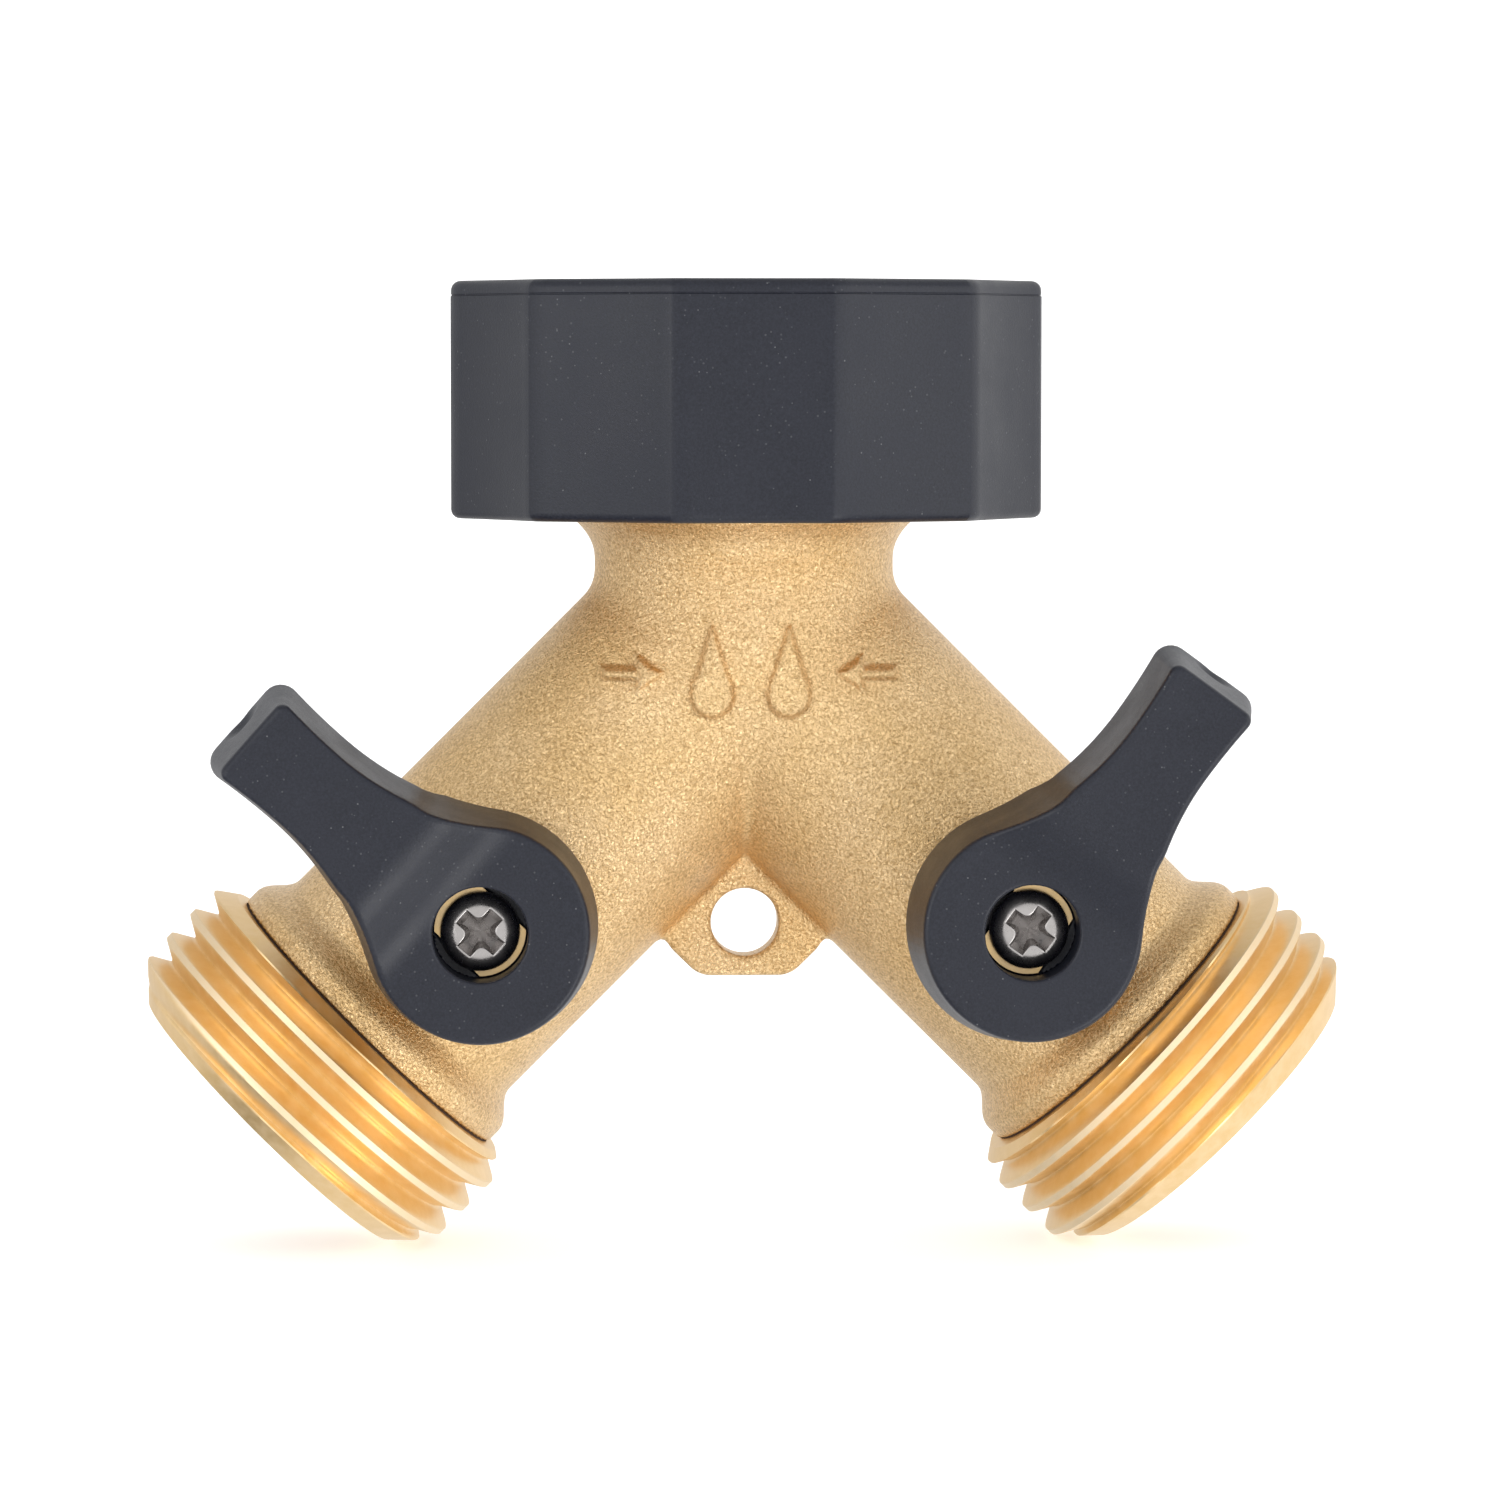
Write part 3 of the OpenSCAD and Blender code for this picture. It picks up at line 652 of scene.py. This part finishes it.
def grip_outline():
    """Points round the grip, and the way out at each: hollow sides and rounded corners."""
    half_side = math.pi / GRIP_SIDES
    apothem, half = GRIP_CORNER_R * math.cos(half_side), GRIP_CORNER_R * math.sin(half_side)
    steps = 15
    outline, outward = [], []
    for side in range(GRIP_SIDES):
        middle = 2 * half_side * side - math.pi / 2
        n = np.array([math.cos(middle), math.sin(middle)])
        t = np.array([-n[1], n[0]])
        for u in np.linspace(-1, 1, steps)[:-1] * (half - GRIP_ROUND):
            depth = GRIP_HOLLOW * (1 - (u / half) ** 2)
            lean = 2 * GRIP_HOLLOW * u / half ** 2
            outline.append(n * (apothem - depth) + t * u)
            outward.append(n - t * lean)
        for a in np.linspace(0, 1, 5)[:-1] * 2 * half_side:
            turned = math.cos(a) * n + math.sin(a) * t
            start = n * (apothem - 0.02) + t * (half - GRIP_ROUND)
            outline.append(start + (turned - n) * GRIP_ROUND * 1.85)
            outward.append(turned)
    outline, outward = np.array(outline), np.array(outward)
    return outline, outward / np.linalg.norm(outward, axis=1)[:, None]


def grip():
    """The outline lofted between rounded ends, with a parting line, a mouth and a nut pocket."""
    outline, outward = grip_outline()
    angle = np.arctan2(outline[:, 1], outline[:, 0])
    foot = [(GRIP_BOTTOM + GRIP_EDGE_ROUND * (1 - math.cos(a)), GRIP_EDGE_ROUND * (1 - math.sin(a)))
            for a in np.linspace(0, math.pi / 2, 6)]
    part = GRIP_TOP - 0.95
    parting = [(part - 0.07, 0.0), (part - 0.02, 0.07), (part + 0.02, 0.07), (part + 0.07, 0.03)]
    brow = [(GRIP_TOP - 0.65 * (1 - math.sin(a)), 0.03 + 0.65 * (1 - math.cos(a)))
            for a in np.linspace(0, math.pi / 2, 7)]
    loops = [np.column_stack([outline - outward * inset, np.full(len(outline), z)])
             for z, inset in foot + parting + brow]
    pocket = hexagon_r(NUT_FLATS + 0.06, angle, math.radians(NUT_CORNER_ANGLE))
    inner = [
        (GRIP_MOUTH_R + 0.35, GRIP_TOP), (GRIP_MOUTH_R + 0.1, GRIP_TOP - 0.1),
        (GRIP_MOUTH_R, GRIP_TOP - 0.35), (GRIP_MOUTH_R, NUT_TOP + 0.01),
        (pocket, NUT_TOP + 0.03), (pocket, GRIP_BOTTOM)]
    for radius, z in inner:
        r = np.broadcast_to(radius, angle.shape)
        loops.append(np.column_stack([r * np.cos(angle), r * np.sin(angle), np.full(len(r), z)]))
    count, m = len(loops), len(outline)
    faces = []
    for i in range(count):
        above = (i + 1) % count
        for j in range(m):
            k = (j + 1) % m
            faces.append((i * m + j, i * m + k, above * m + k, above * m + j))
    make("grip", np.concatenate(loops), faces, FINISH["black_plastic"],
         "collar", "collar_grip")


grip()

# ---- Levers and their screws ----


def lever_outline():
    """The hub, the hollow sweep down to the arm's waist, and the slightly wider tip."""
    blend_r = (WAIST_U ** 2 + WAIST_HALF ** 2 - HUB_R ** 2) / (2 * (HUB_R - WAIST_HALF))
    centre = WAIST_HALF + blend_r
    hub_end = math.atan2(centre, WAIST_U)
    tip_u = LEVER_LENGTH - TIP_ROUND
    flare = (TIP_HALF - WAIST_HALF) / (tip_u - WAIST_U) ** 2
    edge = [(HUB_R * math.cos(a), HUB_R * math.sin(a)) for a in np.linspace(math.pi, hub_end, 30)]
    edge += [(WAIST_U + blend_r * math.cos(a), centre + blend_r * math.sin(a))
             for a in np.linspace(hub_end - math.pi, -math.pi / 2, 17)[1:]]
    edge += [(u, WAIST_HALF + flare * (u - WAIST_U) ** 2)
             for u in np.linspace(WAIST_U, tip_u, 8)[1:-1]]
    edge += [(tip_u + TIP_ROUND * math.sin(a), TIP_HALF - TIP_ROUND + TIP_ROUND * math.cos(a))
             for a in np.linspace(0, math.pi / 2, 7)]
    return np.array(edge + [(u, -v) for u, v in edge[:0:-1]])


OUTLINE = lever_outline()


def lever_outside(u, v, h):
    """The moulding: drafted walls, a dished hub, a ramp up to a hollow arm, and a gate notch."""
    rise = h - SKIRT_H - (ARM_BOTTOM_H - SKIRT_H) * ease(7.3, 9.5, u)
    wall = polygon_distance(OUTLINE, u + 0.06 * rise * ease(8.0, 18.0, u), v) + DRAFT * rise
    ramp = soft_min((u - RAMP_U) / RAMP_LENGTH, np.ones_like(u), 0.3)
    ramp = soft_max(ramp, np.zeros_like(u), 0.3)
    on_arm = np.clip(ramp, 0, 1)
    dish = DISH_DEPTH * np.clip(1 - (np.hypot(u, v) / DISH_R) ** 2, 0, 1)
    hollow = ARM_HOLLOW_DEPTH * np.clip(1 - (v / ARM_HOLLOW_HALF) ** 2, 0, 1)
    top = h - HUB_TOP_H - (ARM_TOP_H - HUB_TOP_H) * ramp + dish * (1 - on_arm) + hollow * on_arm
    gate = np.sqrt((u - 21.6) ** 2 + v ** 2 + (h - 16.2) ** 2) - 1.75
    under = np.maximum(SKIRT_H, np.minimum(SKIRT_H + (u - 7.3) * 1.4, ARM_BOTTOM_H)) - h
    solid = soft_max(soft_max(wall, top * 0.86, 0.42), -gate, 0.4)
    return soft_max(solid, under, 0.3)


def lever_distance(u, v, h):
    """The moulding less the boss's cup, the lug's slot, the stem's key and the screw's well."""
    r = np.hypot(u, v)
    cup = np.maximum(r - CUP_R, h - CUP_H)
    slot_middle = OUTLET_ANGLE - CLOSED_ANGLE - SLOT_LEAD + SLOT_HALF_ANGLE
    turn = np.degrees(np.arctan2(v, u)) - slot_middle
    away = np.abs((turn + 180) % 360 - 180) - SLOT_HALF_ANGLE
    slot = np.maximum(np.maximum(r - SLOT_R, away * math.radians(1) * 6), h - CUP_H)
    flats = math.radians(OUTLET_ANGLE - 90 - CLOSED_ANGLE)
    key = np.maximum(r - KEY_R, np.abs(v * math.cos(flats) - u * math.sin(flats)) - KEY_HALF)
    well = np.maximum(r - WELL_R, STEM_TOP_H - 0.02 - h)
    solid = np.maximum(lever_outside(u, v, h), -np.minimum(np.minimum(cup, slot), key))
    return soft_max(solid, -well, 0.22)


def recess_distance(u, v, h):
    """A cross recess whose four wings narrow towards its floor."""
    down = SCREW_TOP_H - h
    wing = 0.52 - 0.18 * down
    reach = 1.62 - 0.55 * down
    cross = soft_min(
        np.maximum(np.abs(u) - reach, np.abs(v) - wing),
        np.maximum(np.abs(v) - reach, np.abs(u) - wing), 0.6)
    return np.maximum(cross, down - 1.75 + 0.8 * np.hypot(u, v))


def screw_distance(u, v, h):
    r = np.hypot(u, v)
    outside_crown = np.maximum(r - CROWN_R, 0) ** 2 * 1.02 + np.maximum(h - CROWN_H, 0) ** 2
    dome = np.sqrt(outside_crown) - (SCREW_TOP_H - CROWN_H)
    head = soft_max(np.maximum(dome, r - SCREW_HEAD_R), STEM_TOP_H - h, 0.1)
    shank = soft_max(r - SCREW_SHANK_R, np.maximum(SCREW_END_H - h, h - STEM_TOP_H - 0.4), 0.2)
    return soft_max(np.minimum(head, shank), -recess_distance(u, v, h), 0.12)


def place_on_valve(side, shape, finish, name, replaced):
    """Turns a lever's or a screw's shape to its side's rest angle and stands it on the pivot."""
    points, faces, normals = shape
    turn = math.radians(CLOSED_ANGLE - REST_OPENING[side])
    mirror = -1.0 if side == "right" else 1.0

    def to_front(p):
        x = p[:, 0] * math.cos(turn) - p[:, 1] * math.sin(turn)
        up = p[:, 0] * math.sin(turn) + p[:, 1] * math.cos(turn)
        return np.stack([x, -p[:, 2], up], 1)

    placed = (to_front(points) + PIVOT - JUNCTION) * (mirror, 1, 1)
    facing = to_front(normals) * (mirror, 1, 1)
    make(side + name, placed, faces, FINISH[finish], side + "_valve",
         side + replaced, facing, flip=mirror < 0)


lever = skin(lever_distance, (-7.9, -8.0, 11.9), (21.0, 8.0, 22.6), 0.16)
screw = skin(screw_distance, (-2.9, -2.9, 10.8), (2.9, 2.9, 17.9), 0.05)
for side in ("left", "right"):
    place_on_valve(side, lever, "black_plastic", "_handle", "_lever")
    place_on_valve(side, screw, "nickel_screw", "_handle_screw", "_lever_screw")

# ---- Floor, light and camera, in metres and degrees ----

FLOOR_FRONT, FLOOR_BACK, SWEEP_R, SWEEP_TOP, FLOOR_HALF = -0.16, 0.5, 0.5, 1.6, 1.6
LAMP_AIM = Vector((0, 0, -0.023))
CAMERA_AIM = Vector((0.42, 0, JUNCTION[2] - 7.08)) * MM
CAMERA_AZIMUTH, CAMERA_ELEVATION, CAMERA_DISTANCE = -2.591, 3.546, 0.4172
CAMERA_LENS, CAMERA_SENSOR = 149.7, 36.0


def floor():
    """A pale floor that sweeps up behind the part. It casts no shadow and isn't mirrored, so
    light from below reaches the brass."""
    floor_z = cad_size[0].z - 0.0003
    profile = [(FLOOR_FRONT, 0.0), (FLOOR_BACK, 0.0)]
    profile += [(FLOOR_BACK + SWEEP_R * math.sin(a), SWEEP_R * (1 - math.cos(a)))
                for a in np.linspace(0.15, math.pi / 2, 12)]
    profile += [(FLOOR_BACK + SWEEP_R, SWEEP_TOP)]
    verts = [(x, y, floor_z + z) for y, z in profile for x in (-FLOOR_HALF, FLOOR_HALF)]
    faces = [(2 * i, 2 * i + 1, 2 * i + 3, 2 * i + 2) for i in range(len(profile) - 1)]
    mesh = bpy.data.meshes.new("floor")
    mesh.from_pydata(verts, [], faces)
    mesh.polygons.foreach_set("use_smooth", [True] * len(faces))
    sweep = bpy.data.objects.new("floor", mesh)
    bpy.context.scene.collection.objects.link(sweep)
    f = Finish("floor")
    tone = f.mix(f.noise(60.0, 2.0), (0.86, 0.86, 0.86, 1), (0.88, 0.88, 0.88, 1))
    f.set(Base_Color=tone, Roughness=0.9, Emission_Color=(1, 1, 1, 1), Emission_Strength=0.42)
    sweep.visible_glossy = False
    sweep.visible_shadow = False
    mesh.materials.append(f.material)


def surroundings():
    """A white tent. Its left side is dimmer than its right, and it is dimmer again above, behind
    and low on the left. The camera sees it as plain white."""
    world = bpy.data.worlds.new("studio")
    bpy.context.scene.world = world
    world.use_nodes = True
    w = Nodes(world.node_tree, "Generated")
    way = w.node("ShaderNodeSeparateXYZ", {0: w.place}).outputs
    sides = w.span(way["X"], -0.5, 0.5, 0.83, 1.13)
    front = w.span(way["Y"], -1.0, -0.2, 1.14, 1.12)
    beside = w.span(way["Y"], -0.2, 0.4, 0.0, 1.0)
    light = w.node("ShaderNodeMix", {0: beside, 2: front, 3: sides}).outputs[0]
    light = w.add(light, w.span(way["Y"], 0.6, 0.95, 1.0, 0.9), "MULTIPLY")
    light = w.add(light, w.span(way["Z"], 0.3, 0.8, 1.0, 0.75), "MULTIPLY")
    left = w.span(way["X"], -0.75, -0.4, 0.8, 0.0)
    low = w.span(way["Z"], -0.65, -0.3, 1.0, 0.0)
    low_left = w.add(left, low, "MULTIPLY")
    light = w.add(light, w.add(1.0, low_left, "SUBTRACT"), "MULTIPLY")
    seen = w.node("ShaderNodeLightPath").outputs["Is Camera Ray"]
    strength = w.node("ShaderNodeMix", {0: seen, 2: light, 3: 1.0})
    background = world.node_tree.nodes["Background"].inputs
    w.feed(background["Color"], (1, 1, 1, 1))
    w.feed(background["Strength"], strength.outputs[0])


def lamp(name, place, size, power):
    data = bpy.data.lights.new(name, "AREA")
    data.shape = "RECTANGLE"
    data.size, data.size_y = size
    data.energy = power
    light = bpy.data.objects.new(name, data)
    bpy.context.scene.collection.objects.link(light)
    light.location = place
    light.rotation_mode = "QUATERNION"
    light.rotation_quaternion = (LAMP_AIM - Vector(place)).to_track_quat("-Z", "Y")


def camera():
    azimuth, elevation = math.radians(CAMERA_AZIMUTH), math.radians(CAMERA_ELEVATION)
    back = Vector((math.sin(azimuth) * math.cos(elevation),
                   -math.cos(azimuth) * math.cos(elevation), math.sin(elevation)))
    data = bpy.data.cameras.new("camera")
    data.lens, data.sensor_width = CAMERA_LENS, CAMERA_SENSOR
    data.clip_start, data.clip_end = 0.01, 10.0
    made = bpy.data.objects.new("camera", data)
    bpy.context.scene.collection.objects.link(made)
    made.location = CAMERA_AIM + back * CAMERA_DISTANCE
    made.rotation_mode = "QUATERNION"
    made.rotation_quaternion = (-back).to_track_quat("-Z", "Y")
    bpy.context.scene.camera = made


floor()
surroundings()
lamp("key_right", (0.45, -0.38, 0.06), (0.30, 0.40), 0.28)
lamp("side_right", (0.56, -0.18, 0.06), (0.20, 0.40), 0.26)
lamp("low_right", (0.31, -0.41, -0.33), (0.24, 0.30), 0.80)
lamp("fill_left", (-0.42, -0.42, 0.06), (0.30, 0.40), 0.56)
lamp("side_left", (-0.56, -0.18, 0.06), (0.20, 0.40), 0.14)
camera()
bpy.context.scene.view_settings.view_transform = "Standard"
